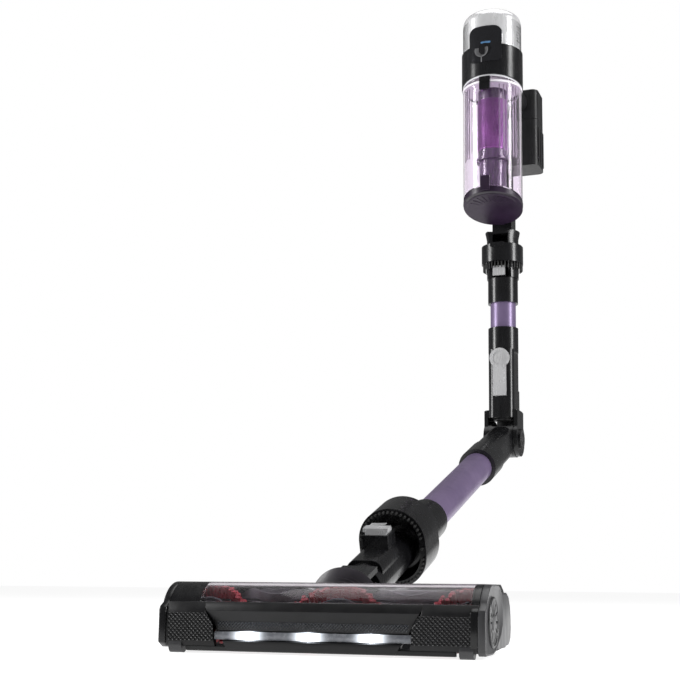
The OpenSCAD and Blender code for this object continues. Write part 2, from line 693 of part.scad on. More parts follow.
mouth = [12, roller_y + tip_r + 1];     // front and rear edge of the suction mouth
module base_plate() color([0.12, 0.12, 0.13]) in_head() difference() {
    union() {
        translate([-plate_in + 0.2, 7.5, floor_z]) cube([2 * plate_in - 0.4, head_d - 10, floor_t]);
        translate([-plate_in + 0.2, mouth[1] + 1, floor_z])
            cube([2 * plate_in - 0.4, 2.5, roller_z + 12]);
        for (x = [-1, 1]) translate([neck_x + x * (ear_in + ear_t / 2) - ear_t / 2, 0, 0]) {
            translate([0, neck_y - 10, floor_z]) cube([ear_t, 20, neck_z - floor_z]);
            translate([0, neck_y, neck_z]) bar_x(0, ear_t, 10);
        }
        for (x = [-1, 1]) translate([x * 70, rear_axle[0], rear_axle[1]]) bar_x(-15, 15, 5);
        for (x = [-50, -100]) translate([x, motor_pos[0] - 14, floor_z]) cube([4, 28, 12]);
    }
    translate([-roller_half - 3, mouth[0] - 20, 0])
        cube([2 * roller_half + 6, mouth[1] - mouth[0] + 20, 20]);
    for (x = [-1, 1]) translate([x * 70, rear_axle[0], 0])
        translate([-6.5 - face_gap, -wheel_r - 1, 0]) cube([13 + 2 * face_gap, 2 * wheel_r + 2, 30]);
    translate([0, rear_axle[0], rear_axle[1]]) bar_x(-100, 100, rear_axle_r + run_gap, 24);
    translate([neck_x, neck_y, neck_z]) bar_x(-60, 60, trunnion_r + run_gap);
    translate([neck_x, neck_y, neck_z]) sphere(dome_r + 0.6, $fn = 64);
    translate([neck_x - opening_half, neck_y + 24, 0]) cube([2 * opening_half, 60, 3]);
    for (p = screw_places) translate([p[0], p[1], 0]) cylinder(h = 20, r = 1.6, $fn = 24);
    translate([0, motor_pos[0], motor_pos[1]]) bar_x(-200, 0.3 - motor_in, drive_motor_r + 0.3);
    belt_space();
    front_wheel_space();
}

screw_places = [for (x = [-105, -62, 62, 105], y = [mouth[1] + 14, head_d - 34])
    if (x > 0 || x < -100) [x, y]];
module screws() color([0.7, 0.7, 0.72]) in_head() for (p = screw_places)
    translate([p[0], p[1], floor_z - 1]) {
    cylinder(h = 1, r = 3, $fn = 24);
    cylinder(h = 8, r = 1.5, $fn = 24);
}

module head_profile(inset = 0) {
    difference() {
        offset(delta = -inset) polygon([[roller_y + 2, 8], [roller_y + 2, head_h], [head_d - 26, head_h],
            [head_d - 8, head_h - 9], [head_d, head_h - 24], [head_d, 8]]);
    }
}

// Room for the roller, for the belt and for the front wheels
module roller_space() translate([0, roller_y, roller_z]) bar_x(-plate_in + 1, plate_in - 1, tip_r + 0.6);
module belt_space() along_x(-pulley_in - pulley_w - 0.5, 0.5 - pulley_in) belt_loop(belt_t + 1);
module front_wheel_space() translate([0, front_axle[0], front_axle[1]])
    bar_x(-plate_in - 0.5, plate_in + 0.5, front_wheel_r + 0.6);

// Curved front of the hood over the roller
module hood_arc(x0, x1) along_x(x0, x1) intersection() {
    translate([roller_y, roller_z]) difference() {
        circle(window_r, $fn = fine);
        circle(window_r - window_wall, $fn = fine);
    }
    translate([-40, fascia_h + 5.3]) square([roller_y + 43, 60]);
}

module top_cover() color([0.1, 0.1, 0.11]) in_head() {
    hood_arc(-plate_in + 0.2, window_span[0] - 0.1);
    hood_arc(window_span[1] + 0.1, plate_in - 0.2);
    rear_cover();
}

module rear_cover() difference() {
    along_x(-plate_in + 0.2, plate_in - 0.2) head_profile();
    along_x(-plate_in + 3, plate_in - 3) head_profile(head_wall);
    translate([-plate_in + 3, mouth[1] - 30, 0])
        cube([2 * plate_in - 6, head_d - mouth[1] + 30 - head_wall, 12]);
    translate([window_span[0] - 0.1, 0, 0])
        cube([window_span[1] - window_span[0] + 0.2, roller_y + 3.5, 80]);
    translate([-200, 0, 0]) cube([400, roller_y + 0.5, 80]);
    translate([-plate_in, 0, 0]) cube([2 * plate_in, mouth[1] + 6, head_h - 6]);
    neck_opening(-1, 80);
    roller_space();
}

module trim_strip() color(silver) in_head() difference() {
    along_x(window_span[0], window_span[1]) translate([roller_y, head_h - 6]) difference() {
        square([3.2, 6]);
        translate([-1, -2]) square([3, 6]);
    }
    roller_space();
}

module window() color([0.5, 0.5, 0.55, 0.3]) in_head() intersection() {
    hood_arc(window_span[0], window_span[1]);
    translate([-200, -40, 0]) cube([400, roller_y + 39.8, 100]);
}

module front_fascia() color([0.08, 0.08, 0.09]) in_head() difference() {
    union() {
        translate([-plate_in + 0.2, 0.8, 9]) cube([2 * plate_in - 0.4, 4.2, fascia_h - 9]);
        along_x(-plate_in + 0.2, plate_in - 0.2)
            polygon([[0.8, fascia_h - 1], [5, fascia_h - 1], [7.6, fascia_h + 5], [4.6, fascia_h + 5]]);
    }
    for (k = [0:lamps - 1]) translate([lamp_x(k), 0, lamp_z]) translate([-lamp_w / 2 - 0.1, -2, -3.1])
        cube([lamp_w + 0.2, 10, 6.2]);
    for (x = [-1, 1]) translate([x * (plate_in - 22.5), 1.6, 21]) cube([44, 1.8, 25], center = true);
    front_wheel_space();
}

lamp_w = 20;
lamp_z = 14;
function lamp_x(k) = neck_x - 2 + (k - (lamps - 1) / 2) * lamp_pitch;
module led_lenses() color([0.95, 0.97, 1]) in_head() for (k = [0:lamps - 1])
    translate([lamp_x(k) - lamp_w / 2, 0.4, lamp_z - 3]) cube([lamp_w, 4.4, 6]);

module corner_grips() color([0.15, 0.15, 0.16]) in_head() difference() {
    for (x = [-1, 1]) translate([x * (plate_in - 22.5), 1.45, 21]) cube([43.6, 1.9, 24.6], center = true);
    front_wheel_space();
}

arc_from = asin((fascia_h + 5 - roller_z) / window_r);
module end_outline() polygon(concat([[0, 6], [0, fascia_h]],
    [for (k = [0:12]) let (a = arc_from + k * (90 - arc_from) / 12)
        [roller_y - window_r * cos(a), roller_z + window_r * sin(a)]],
    [[head_d - 26, head_h], [head_d - 8, head_h - 9], [head_d, head_h - 24], [head_d, 10],
        [head_d - 6, 5], [6, 3]]));

module left_end_plate() color([0.3, 0.3, 0.31]) in_head() difference() {
    along_x(-plate_in - end_plate, -plate_in) end_outline();
    translate([0, roller_y, roller_z]) bar_x(-plate_in - end_plate + 2, -plate_in + 5, axle_r + run_gap);
    translate([0, front_axle[0], front_axle[1]]) bar_x(-plate_in - 3, 0, front_axle_r + run_gap, 24);
    translate([0, front_axle[0], front_axle[1]]) bar_x(-plate_in - 0.5, 0, front_wheel_r + 0.6);
}

module right_end_cap() color([0.3, 0.3, 0.31]) in_head() difference() {
    along_x(plate_in, plate_in + end_plate) end_outline();
    translate([0, roller_y, roller_z]) bar_x(plate_in - 5, plate_in + end_plate + 5, dial_r + face_gap);
    translate([0, front_axle[0], front_axle[1]]) bar_x(0, plate_in + 3, front_axle_r + run_gap, 24);
    translate([0, front_axle[0], front_axle[1]]) bar_x(0, plate_in + 0.5, front_wheel_r + 0.6);
}

module roller_dial() color([0.2, 0.2, 0.21]) in_head() translate([0, roller_y, roller_z]) difference() {
    union() {
        bar_x(plate_in + 0.3, plate_in + end_plate + 1.2, dial_r);
        bar_x(plate_in - 3, plate_in + 1, 8);
    }
    bar_x(plate_in - 4, plate_in + end_plate - 2, axle_r + run_gap);
    for (k = [0:11]) rotate([k * 30, 0, 0]) translate([plate_in + end_plate, 8, -1]) cube([3, 9, 2]);
}

module roller_core() color([0.2, 0.2, 0.22]) in_head() translate([0, roller_y, roller_z])
    mirror([1, 0, 0]) {
    bar_x(-roller_half, pulley_in - 3, core_r);
    bar_x(-plate_in - end_plate + 2.5, plate_in + end_plate - 2.5, axle_r - 0.001);
    bar_x(pulley_in, pulley_in + pulley_w, roller_pulley_r);
}

// Strip that waves up and down on the core as it runs across the roller
wave = 110;                             // length of one whole wave
wave_turn = 84;                         // turn from crest to trough
wave_top = 14;                          // a crest's place across the width
crest = 8;                              // a crest's turn back from straight up
strip_x = [3 - pulley_in, roller_half - 1];
stations = round(head_w / 7.8);          // one every few millimetres of the roller
function wave_angle(x) = crest + wave_turn * (1 - cos(360 * (x - wave_top) / wave)) / 2;
function turned(p, a) = [p[0] * cos(a) - p[1] * sin(a), p[0] * sin(a) + p[1] * cos(a)];
module waved_strip(r0, r1, t, start) polyhedron(
    points = [for (k = [0:stations]) let (x = strip_x[0] + k * (strip_x[1] - strip_x[0]) / stations)
        for (c = [[-t / 2, r0], [-t / 2, r1], [t / 2, r1], [t / 2, r0]])
            let (q = turned(c, wave_angle(x) + start)) [x, -q[0], q[1]]],
    faces = concat([[0, 1, 2, 3], [for (k = [3:-1:0]) 4 * stations + k]],
        [for (k = [0:stations - 1], m = [0:3]) let (n = (m + 1) % 4)
            [4 * k + m, 4 * k + 4 + m, 4 * k + 4 + n, 4 * k + n]]));

module bristle_strips() color([0.75, 0.08, 0.1]) in_head() translate([0, roller_y, roller_z])
    for (k = [0:2]) waved_strip(core_r + 0.05, tip_r, 3, k * 120);
module soft_strips() color([0.5, 0.5, 0.52]) in_head() translate([0, roller_y, roller_z])
    for (k = [0:2]) waved_strip(core_r + 0.05, tip_r - 1, 2, 60 + k * 120);

module drive_motor() color([0.45, 0.45, 0.47]) in_head() translate([0, motor_pos[0], motor_pos[1]])
    mirror([1, 0, 0]) {
    bar_x(motor_in, motor_out, drive_motor_r);
    bar_x(motor_out - 1, pulley_in + pulley_w - 1, motor_shaft_r, 32);
}

module motor_pulley() color([0.3, 0.3, 0.3]) in_head() translate([0, motor_pos[0], motor_pos[1]])
    mirror([1, 0, 0]) difference() {
    bar_x(pulley_in, pulley_in + pulley_w, motor_pulley_r);
    bar_x(0, 200, motor_shaft_r + run_gap, 32);
}

module belt_loop(grow) hull() {
    translate([roller_y, roller_z]) circle(roller_pulley_r + grow);
    translate([motor_pos[0], motor_pos[1]]) circle(motor_pulley_r + grow);
}
module drive_belt() color([0.1, 0.1, 0.1]) in_head()
    along_x(-pulley_in - pulley_w + 0.5, -pulley_in - 0.5) difference() {
    belt_loop(0.3 + belt_t);
    belt_loop(0.3);
}

module rear_wheels() color([0.1, 0.1, 0.1]) in_head() translate([0, rear_axle[0], rear_axle[1]]) {
    for (x = [-1, 1]) translate([x * 70, 0, 0]) bar_x(-6.5, 6.5, wheel_r);
    bar_x(-84, 84, rear_axle_r, 24);
}

module front_wheels() color([0.15, 0.15, 0.15]) in_head() translate([0, front_axle[0], front_axle[1]]) {
    for (x = [-1, 1]) mirror([x < 0 ? 1 : 0, 0, 0]) bar_x(wheel_in, wheel_in + 11, front_wheel_r);
    bar_x(-plate_in - 2.5, plate_in + 2.5, front_axle_r, 24);
}

// ---------------------------------------------------------------- drawing

motor_housing();
exhaust_cap();
display_panel();
mode_button();
suction_motor();
impeller();
control_board();
exhaust_filter();
pre_filter();
handle_shell();
grip_pad();
trigger();
battery_pack();
battery_cells();
battery_latch();
dust_bin();
bin_seal();
cyclone_core();
mesh_screen();
bin_flap();
flap_latch();
bin_latch();
inlet_tube();
brush_collar();
collar_bristles();
wand_release();
wand_collar();
upper_tube();
elbow_housing();
elbow_covers();
elbow_button();
hinge_pins();
elbow_knuckle();
lower_tube();
bottom_cuff();
brush_ring();
ring_bristles();
neck_socket();
head_release();
neck_yoke();
neck_hose();
base_plate();
top_cover();
trim_strip();
window();
front_fascia();
corner_grips();
led_lenses();
left_end_plate();
right_end_cap();
roller_dial();
roller_core();
bristle_strips();
soft_strips();
drive_motor();
motor_pulley();
drive_belt();
rear_wheels();
front_wheels();
screws();
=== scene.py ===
import json
import math

import bmesh
import bpy
from mathutils import Matrix, Vector


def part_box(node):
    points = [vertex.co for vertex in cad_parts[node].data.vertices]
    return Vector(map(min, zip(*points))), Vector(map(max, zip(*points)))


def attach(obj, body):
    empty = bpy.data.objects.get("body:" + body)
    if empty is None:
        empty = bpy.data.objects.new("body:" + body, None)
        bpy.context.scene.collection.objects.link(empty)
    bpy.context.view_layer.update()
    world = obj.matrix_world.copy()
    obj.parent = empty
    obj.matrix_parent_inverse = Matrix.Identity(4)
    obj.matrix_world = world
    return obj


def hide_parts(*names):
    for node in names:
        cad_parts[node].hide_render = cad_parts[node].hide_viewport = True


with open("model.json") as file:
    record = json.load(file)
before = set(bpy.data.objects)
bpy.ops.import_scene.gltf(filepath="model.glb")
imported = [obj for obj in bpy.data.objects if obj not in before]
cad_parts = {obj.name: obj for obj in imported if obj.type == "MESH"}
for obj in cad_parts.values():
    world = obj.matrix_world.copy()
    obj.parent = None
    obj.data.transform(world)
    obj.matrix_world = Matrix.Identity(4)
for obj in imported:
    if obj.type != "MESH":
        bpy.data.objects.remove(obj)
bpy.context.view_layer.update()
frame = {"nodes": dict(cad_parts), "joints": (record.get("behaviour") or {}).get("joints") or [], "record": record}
nodes = frame["nodes"]
joints = {j["name"]: j for j in frame["joints"]}
MM = 0.001

# ---------------------------------------------------------------- places

elbow = Vector(joints["elbow_fold"]["pos_m"])
neck = Vector(joints["neck_pitch"]["pos_m"])
across = Vector(joints["elbow_fold"]["axis"]).normalized()      # the wand plane's own X
head_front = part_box("left_end_plate")[0].y


def frame_matrix(origin, x, z):
    y = z.cross(x)
    m = Matrix((x, y, z)).transposed().to_4x4()
    m.translation = origin
    return m


up = Vector((0, 0, 1))
UPPER = frame_matrix(elbow, across, up)
BIN_REACH = 51                 # from the wand's middle line forward to the bin's
BIN = UPPER @ Matrix.Translation((0, -BIN_REACH * MM, 0))
along = (elbow - neck).normalized()
LOWER = frame_matrix(elbow, across, along)
NECK = frame_matrix(neck, across, along)
HEAD = Matrix.Translation((0, head_front, 0))

# ---------------------------------------------------------------- finishes

EVEN = (1, 1, 1)               # a pattern stretched the same in every direction
CLOUD_SCALE = 22               # size of the clouds in a moulded colour
WIPE_SCALE = 14
WIPE_STRETCH = (9, 9, 1.5)     # wiped streaks run up and down
BUMP_DEPTH = 0.0002            # metres
LAMPS = (-56.8, -6.8, 43.1)    # places of the three lamps across the head
LAMP_REACH = 0.024             # metres to each side over which a lamp fades
LAMP_FALL = 5
LAMP_PEAK = 14
LAMP_FLOOR = 0.03              # faint glow of the bar between its lamps


def node_tree(name):
    m = bpy.data.materials.new(name)
    m.use_nodes = True
    t = m.node_tree
    t.nodes.clear()
    out = t.nodes.new("ShaderNodeOutputMaterial")
    shader = t.nodes.new("ShaderNodeBsdfPrincipled")
    t.links.new(shader.outputs["BSDF"], out.inputs["Surface"])
    coords = t.nodes.new("ShaderNodeTexCoord")
    return m, t, shader, coords


def stretched(t, coords, scale):
    mapping = t.nodes.new("ShaderNodeMapping")
    mapping.inputs["Scale"].default_value = scale
    t.links.new(coords.outputs["Object"], mapping.inputs["Vector"])
    return mapping.outputs["Vector"]


def noise(t, vector, scale, detail=3.0, rough=0.55):
    n = t.nodes.new("ShaderNodeTexNoise")
    n.inputs["Scale"].default_value = scale
    n.inputs["Detail"].default_value = detail
    n.inputs["Roughness"].default_value = rough
    t.links.new(vector, n.inputs["Vector"])
    return n.outputs["Fac"]


def ranged(t, value, lo, hi, at=0.35, to=0.65):
    r = t.nodes.new("ShaderNodeMapRange")
    r.inputs["From Min"].default_value = at
    r.inputs["From Max"].default_value = to
    r.inputs["To Min"].default_value = lo
    r.inputs["To Max"].default_value = hi
    t.links.new(value, r.inputs["Value"])
    return r.outputs["Result"]


def blended(t, value, a, b, at=0.35, to=0.65):
    mix = t.nodes.new("ShaderNodeMix")
    mix.data_type = "RGBA"
    mix.inputs["A"].default_value = (*a, 1)
    mix.inputs["B"].default_value = (*b, 1)
    t.links.new(ranged(t, value, 0, 1, at, to), mix.inputs["Factor"])
    return mix.outputs["Result"]


def bumped(t, shader, value, strength):
    b = t.nodes.new("ShaderNodeBump")
    b.inputs["Strength"].default_value = strength
    b.inputs["Distance"].default_value = BUMP_DEPTH
    t.links.new(value, b.inputs["Height"])
    t.links.new(b.outputs["Normal"], shader.inputs["Normal"])


def moulded(name, dark, light, rough, grain, bump, coat=0.0, metal=0.0, stretch=EVEN, shine=0.5):
    """Moulded plastic or metal: cloudy colour, wiped streaks in the gloss and a fine grain."""
    m, t, shader, coords = node_tree(name)
    cloud = noise(t, stretched(t, coords, EVEN), CLOUD_SCALE, 4)
    t.links.new(blended(t, cloud, dark, light), shader.inputs["Base Color"])
    wipe = noise(t, stretched(t, coords, WIPE_STRETCH), WIPE_SCALE, 5, 0.65)
    t.links.new(ranged(t, wipe, rough[0], rough[1]), shader.inputs["Roughness"])
    fine = noise(t, stretched(t, coords, stretch), grain, 2)
    bumped(t, shader, fine, bump)
    shader.inputs["Metallic"].default_value = metal
    shader.inputs["Coat Weight"].default_value = coat
    shader.inputs["Coat Roughness"].default_value = 0.04
    shader.inputs["Specular IOR Level"].default_value = shine
    return m


def let_light_in(t, shader, tint):
    """Lamps shine straight through a clear wall, so what lies behind it is lit."""
    end = next(n for n in t.nodes if n.type == "OUTPUT_MATERIAL")
    mix = t.nodes.new("ShaderNodeMixShader")
    rays = t.nodes.new("ShaderNodeLightPath")
    open_air = t.nodes.new("ShaderNodeBsdfTransparent")
    open_air.inputs["Color"].default_value = (*tint, 1)
    t.links.new(rays.outputs["Is Shadow Ray"], mix.inputs["Fac"])
    t.links.new(shader.outputs[0], mix.inputs[1])
    t.links.new(open_air.outputs[0], mix.inputs[2])
    t.links.new(mix.outputs[0], end.inputs["Surface"])


def see_through(name, tint, rough, ior):
    """Clear plastic: a light tint, faint flow lines from the mould and hair scratches."""
    m, t, shader, coords = node_tree(name)
    cloud = noise(t, stretched(t, coords, (1, 1, 0.2)), 16, 3)
    pale = tuple(1 - (1 - c) * 0.8 for c in tint)
    t.links.new(blended(t, cloud, tint, pale), shader.inputs["Base Color"])
    hair = noise(t, stretched(t, coords, (30, 30, 2)), 30, 5, 0.7)
    t.links.new(ranged(t, hair, rough[0], rough[1], 0.45, 0.7), shader.inputs["Roughness"])
    bumped(t, shader, noise(t, stretched(t, coords, (4, 4, 1)), 60, 2), 0.02)
    shader.inputs["Transmission Weight"].default_value = 1.0
    shader.inputs["IOR"].default_value = ior
    let_light_in(t, shader, tint)
    return m


def lit(name, colour, strength):
    m, t, shader, coords = node_tree(name)
    cloud = noise(t, stretched(t, coords, EVEN), 300, 2)
    t.links.new(blended(t, cloud, colour, tuple(c * 0.9 for c in colour)), shader.inputs["Base Color"])
    shader.inputs["Emission Color"].default_value = (*colour, 1)
    t.links.new(ranged(t, cloud, strength * 0.85, strength), shader.inputs["Emission Strength"])
    t.links.new(ranged(t, cloud, 0.12, 0.3), shader.inputs["Roughness"])
    bumped(t, shader, cloud, 0.05)
    return m


def worked_out(t, operation, value, other=None):
    """One sum in a material: of a linked value with a number or with another linked value."""
    n = t.nodes.new("ShaderNodeMath")
    n.operation = operation
    t.links.new(value, n.inputs[0])
    if isinstance(other, (int, float)):
        n.inputs[1].default_value = other
    elif other is not None:
        t.links.new(other, n.inputs[1])
    return n.outputs[0]


def lamp_bar():
    """Clear bar lit from behind: three bright spots that fade sideways along the bar."""
    m, t, shader, coords = node_tree("light_bar")
    split = t.nodes.new("ShaderNodeSeparateXYZ")
    t.links.new(coords.outputs["Object"], split.inputs["Vector"])
    spots = []
    for x in LAMPS:
        away = worked_out(t, "ABSOLUTE", worked_out(t, "SUBTRACT", split.outputs["X"], round(x * MM, 4)))
        near = ranged(t, away, 1.0, 0.0, 0.0, LAMP_REACH)
        spots.append(worked_out(t, "MULTIPLY", worked_out(t, "POWER", near, LAMP_FALL), LAMP_PEAK))
    total = worked_out(t, "ADD", worked_out(t, "ADD", spots[0], spots[1]), spots[2])
    glow = worked_out(t, "ADD", total, LAMP_FLOOR)
    cloud = noise(t, stretched(t, coords, EVEN), 240, 2)
    t.links.new(blended(t, cloud, (0.1, 0.105, 0.12), (0.16, 0.165, 0.18)), shader.inputs["Base Color"])
    t.links.new(ranged(t, cloud, 0.15, 0.3), shader.inputs["Roughness"])
    shader.inputs["Emission Color"].default_value = (0.86, 0.92, 1.0, 1)
    t.links.new(glow, shader.inputs["Emission Strength"])
    bumped(t, shader, cloud, 0.05)
    return m


BLACK_GLOSS = moulded("black_gloss", (0.003, 0.003, 0.0035), (0.006, 0.006, 0.007),
                      (0.2, 0.3), 500, 0.02, shine=0.4)
BLACK_SATIN = moulded("black_satin", (0.005, 0.005, 0.0055), (0.009, 0.009, 0.01),
                      (0.34, 0.46), 1600, 0.12, shine=0.3)
RUBBER = moulded("rubber", (0.006, 0.006, 0.0065), (0.012, 0.012, 0.013),
                 (0.55, 0.75), 1100, 0.2, shine=0.3)
GREY = moulded("grey_plastic", (0.03, 0.03, 0.032), (0.045, 0.045, 0.048), (0.3, 0.44), 1300, 0.1)
SILVER = moulded("silver", (0.5, 0.5, 0.51), (0.58, 0.58, 0.59),
                 (0.2, 0.3), 700, 0.03, metal=0.4, stretch=(1, 1, 12))
STEEL = moulded("steel", (0.45, 0.45, 0.47), (0.58, 0.58, 0.6),
                (0.22, 0.38), 900, 0.08, metal=1.0, stretch=(12, 1, 1))
ALUMINIUM = moulded("aluminium", (0.5, 0.5, 0.52), (0.62, 0.62, 0.64), (0.3, 0.45), 800, 0.1, metal=1.0)
PURPLE_TUBE = moulded("purple_tube", (0.13, 0.095, 0.18), (0.17, 0.125, 0.225),
                      (0.3, 0.4), 1500, 0.06, metal=0.35)
DISPLAY = moulded("display", (0.003, 0.003, 0.004), (0.006, 0.006, 0.008), (0.04, 0.1), 400, 0.01, coat=0.8)
CORE = moulded("core_purple", (0.02, 0.008, 0.028), (0.036, 0.014, 0.048), (0.2, 0.32), 900, 0.04, coat=0.3)
MESH = moulded("mesh", (0.07, 0.018, 0.085), (0.15, 0.04, 0.17), (0.25, 0.4), 2500, 0.3, metal=0.4)
FLAP = moulded("flap_purple", (0.012, 0.006, 0.016), (0.022, 0.012, 0.028),
               (0.3, 0.42), 900, 0.04, shine=0.3)
BOARD = moulded("board", (0.02, 0.1, 0.045), (0.035, 0.15, 0.07), (0.35, 0.5), 1500, 0.2)
FILTER = moulded("filter", (0.72, 0.72, 0.7), (0.84, 0.84, 0.82), (0.85, 0.95), 1800, 0.5)
CELLS = moulded("cells", (0.05, 0.14, 0.3), (0.07, 0.19, 0.4), (0.25, 0.4), 1000, 0.05)
BRISTLE = moulded("bristle_black", (0.006, 0.006, 0.006), (0.018, 0.018, 0.018), (0.45, 0.65), 2600, 0.4)
RED = moulded("bristle_red", (0.16, 0.008, 0.014), (0.27, 0.014, 0.024), (0.5, 0.7), 2600, 0.5)
SOFT = moulded("soft_grey", (0.05, 0.05, 0.054), (0.1, 0.1, 0.108), (0.6, 0.8), 2000, 0.4)
SEAL = moulded("seal_grey", (0.5, 0.5, 0.52), (0.62, 0.62, 0.64), (0.4, 0.55), 1200, 0.1)
CLEAR = see_through("clear_bin", (0.93, 0.86, 0.95), (0.0, 0.05), 1.3)
WINDOW = see_through("smoke_window", (0.7, 0.66, 0.7), (0.0, 0.04), 1.25)
LAMP = lit("lamp", (0.95, 0.97, 1.0), 6.0)
GREY_DARK = moulded("grey_dark", (0.014, 0.014, 0.015), (0.026, 0.026, 0.028), (0.25, 0.4), 1300, 0.1)
GRILLE = moulded("grille", (0.006, 0.008, 0.012), (0.016, 0.02, 0.028), (0.2, 0.35), 1300, 0.1)
LIGHT_BAR = lamp_bar()
CAP_SILVER = moulded("cap_silver", (0.62, 0.62, 0.63), (0.7, 0.7, 0.71),
                     (0.2, 0.3), 700, 0.03, metal=0.45, stretch=(1, 1, 12))
RIM = moulded("rim_pale", (0.6, 0.57, 0.62), (0.75, 0.72, 0.76), (0.15, 0.3), 900, 0.04)
RIB = moulded("rib_dusk", (0.1, 0.085, 0.11), (0.16, 0.14, 0.17), (0.2, 0.35), 900, 0.04)
SEAL_DARK = moulded("flap_seal", (0.012, 0.009, 0.014), (0.022, 0.017, 0.025), (0.35, 0.5), 1200, 0.1)
MARK_BLUE = lit("mark_blue", (0.06, 0.14, 0.26), 0.15)
DOME = moulded("dome_dusk", (0.014, 0.011, 0.016), (0.028, 0.023, 0.031), (0.35, 0.5), 1200, 0.1)
MARK_GREY = moulded("mark_grey", (0.09, 0.09, 0.095), (0.15, 0.15, 0.155), (0.3, 0.4), 900, 0.04)

by_slot = {
    "black_gloss": BLACK_GLOSS, "black_satin": BLACK_SATIN, "rubber": RUBBER, "grey_plastic": GREY,
    "silver": SILVER, "steel": STEEL, "aluminium": ALUMINIUM, "purple_tube": PURPLE_TUBE,
    "display": DISPLAY, "core_purple": CORE, "mesh": MESH, "flap_purple": FLAP, "board": BOARD,
    "filter": FILTER, "cells": CELLS, "bristle_black": BRISTLE, "bristle_red": RED,
    "soft_grey": SOFT, "seal_grey": SEAL, "clear_bin": CLEAR, "smoke_window": WINDOW, "lamp": LAMP,
}
for part in frame["record"]["subparts"]:
    piece = nodes[part["node"]]
    piece.data.materials.clear()
    piece.data.materials.append(by_slot[part["material_slot"]])
nodes["exhaust_cap"].data.materials[0] = CAP_SILVER

# ---------------------------------------------------------------- camera, floor and lights

scene = bpy.context.scene
scene.view_settings.view_transform = "Standard"


def clear():
    if bpy.context.object and bpy.context.object.mode != "OBJECT":
        bpy.ops.object.mode_set(mode="OBJECT")
    bpy.ops.object.select_all(action="DESELECT")


CAMERA_SIDE, CAMERA_AHEAD, CAMERA_UP = 0.2953, 0.8964, 0.0523   # metres from the head's front
LENS = 63.96
azimuth, pitch, roll = math.radians(16.24), math.radians(8.46), math.radians(0.59)
camera_data = bpy.data.cameras.new("camera")
camera = bpy.data.objects.new("camera", camera_data)
scene.collection.objects.link(camera)
look = Vector((-math.sin(azimuth) * math.cos(pitch), math.cos(azimuth) * math.cos(pitch), math.sin(pitch)))
turned = look.to_track_quat("-Z", "Y").to_matrix() @ Matrix.Rotation(roll, 3, "Z")
stand = Matrix.Translation((CAMERA_SIDE, head_front - CAMERA_AHEAD, CAMERA_UP))
camera.matrix_world = stand @ turned.to_4x4()
camera_data.sensor_width = 36
camera_data.lens = LENS
camera_data.shift_x = -0.030
camera_data.shift_y = 0.10
camera_data.clip_start = 0.02
scene.camera = camera


def panel(name, place, aim, size, power):
    data = bpy.data.lights.new(name, "AREA")
    data.shape = "RECTANGLE"
    data.size, data.size_y = size
    data.energy = power
    o = bpy.data.objects.new(name, data)
    scene.collection.objects.link(o)
    towards = (Vector(aim) - Vector(place)).to_track_quat("-Z", "Y")
    o.matrix_world = Matrix.Translation(place) @ towards.to_matrix().to_4x4()


middle = (0.0, 0.0, 0.4)
panel("left_light", (-2.4, -0.9, 0.7), middle, (0.6, 2.2), 75)
panel("right_light", (2.2, -0.1, 0.7), middle, (0.5, 2.2), 60)
panel("top_light", (0.2, 0.0, 2.6), middle, (2.4, 2.4), 40)

# White is seen straight on and through clear parts; surfaces are lit by a dimmer room
ROOM_LIGHT = 0.22
world = bpy.data.worlds.new("studio")
scene.world = world
world.use_nodes = True
tree = world.node_tree
tree.nodes.clear()
out = tree.nodes.new("ShaderNodeOutputWorld")
mix = tree.nodes.new("ShaderNodeMixShader")
rays = tree.nodes.new("ShaderNodeLightPath")
dim = tree.nodes.new("ShaderNodeBackground")
white = tree.nodes.new("ShaderNodeBackground")
dim.inputs["Strength"].default_value = ROOM_LIGHT
white.inputs["Strength"].default_value = 1.0
white.inputs["Color"].default_value = (1, 1, 1, 1)
seen = tree.nodes.new("ShaderNodeMath")
seen.operation = "MAXIMUM"
tree.links.new(rays.outputs["Is Camera Ray"], seen.inputs[0])
tree.links.new(rays.outputs["Is Transmission Ray"], seen.inputs[1])
tree.links.new(seen.outputs[0], mix.inputs["Fac"])
tree.links.new(dim.outputs["Background"], mix.inputs[1])
tree.links.new(white.outputs["Background"], mix.inputs[2])
tree.links.new(mix.outputs["Shader"], out.inputs["Surface"])

FLOOR_GLOW = 0.82              # keeps the floor pale where the lights fade
clear()
bpy.ops.mesh.primitive_plane_add(size=60, location=(0, 2, 0))
floor = bpy.context.object
floor.name = "floor"
m, t, shader, coords = node_tree("floor_paper")
cloud = noise(t, stretched(t, coords, EVEN), 3, 3)
t.links.new(blended(t, cloud, (0.55, 0.55, 0.55), (0.58, 0.58, 0.58)), shader.inputs["Base Color"])
t.links.new(ranged(t, cloud, 0.35, 0.45), shader.inputs["Roughness"])
shader.inputs["Emission Color"].default_value = (1, 1, 1, 1)
shader.inputs["Emission Strength"].default_value = FLOOR_GLOW
floor.data.materials.append(m)

# ---------------------------------------------------------------- modelling

FINE = 96                      # corners round a large turned piece
SHARP = 35                     # edges that turn more than this, in degrees, are rounded off


def enter(o, mode="FACE"):
    clear()
    bpy.context.view_layer.objects.active = o
    o.select_set(True)
    bpy.ops.object.mode_set(mode="EDIT")
    bpy.ops.mesh.select_mode(type=mode)
    bpy.ops.mesh.select_all(action="DESELECT")


def leave():
    bpy.ops.object.mode_set(mode="OBJECT")


def pick_faces(o, test):
    """Selects the faces whose middle and normal pass the test, in millimetres."""
    mesh = bmesh.from_edit_mesh(o.data)
    for f in mesh.faces:
        f.select_set(test(f.calc_center_median() / MM, f.normal))
    bmesh.update_edit_mesh(o.data)


